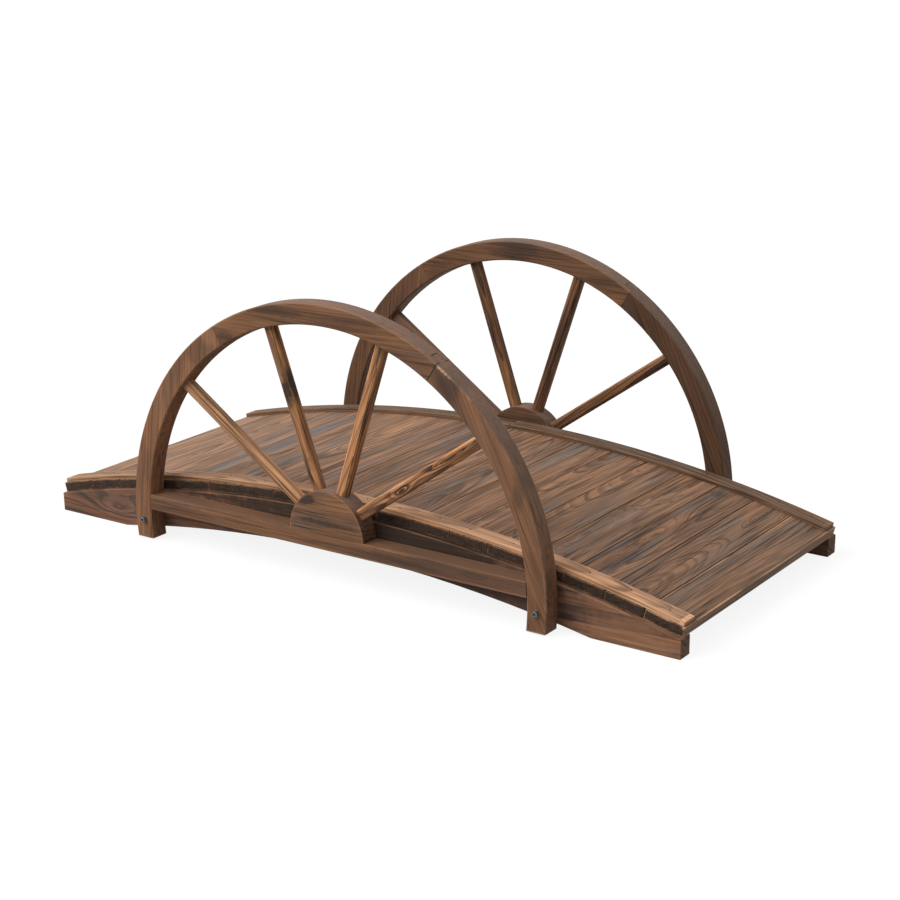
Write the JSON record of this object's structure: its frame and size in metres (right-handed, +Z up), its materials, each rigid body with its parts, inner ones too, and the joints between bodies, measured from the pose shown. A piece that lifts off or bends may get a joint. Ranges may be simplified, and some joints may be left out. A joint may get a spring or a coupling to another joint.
{
  "type": "arched garden bridge",
  "caption": "Low arched wooden garden bridge with a plank deck between two half wagon wheel railings.",
  "frame": {"origin": "middle of the footprint, on the ground under the middle of the span", "axes": "+X along the bridge in the walking direction, +Y across it, +Z up"},
  "size_m": [1.3242, 0.649, 0.484],
  "materials": {
    "beam_wood": "stained, matt",
    "deck_wood": "stained, matt",
    "strip_wood": "stained, matt",
    "wheel_wood": "stained, satin",
    "spoke_wood": "stained, satin"
  },
  "bodies": {
    "root": {"beam_back": "beam_wood", "beam_front": "beam_wood", "board_01": "deck_wood", "board_02": "deck_wood", "board_03": "deck_wood", "board_04": "deck_wood", "board_05": "deck_wood", "board_06": "deck_wood", "board_07": "deck_wood", "board_08": "deck_wood", "board_09": "deck_wood", "board_10": "deck_wood", "board_11": "deck_wood", "board_12": "deck_wood", "board_13": "deck_wood", "board_14": "deck_wood", "board_15": "deck_wood", "board_16": "deck_wood", "board_17": "deck_wood", "board_18": "deck_wood", "hub_back": "wheel_wood", "hub_front": "wheel_wood", "rail_back": "wheel_wood", "rail_front": "wheel_wood", "rim_back_left": "wheel_wood", "rim_back_right": "wheel_wood", "rim_back_top": "wheel_wood", "rim_front_left": "wheel_wood", "rim_front_right": "wheel_wood", "rim_front_top": "wheel_wood", "spoke_back_1": "spoke_wood", "spoke_back_2": "spoke_wood", "spoke_back_3": "spoke_wood", "spoke_back_4": "spoke_wood", "spoke_front_1": "spoke_wood", "spoke_front_2": "spoke_wood", "spoke_front_3": "spoke_wood", "spoke_front_4": "spoke_wood", "strip_back_left": "strip_wood", "strip_back_right": "strip_wood", "strip_front_left": "strip_wood", "strip_front_right": "strip_wood"}
  },
  "joints": []
}
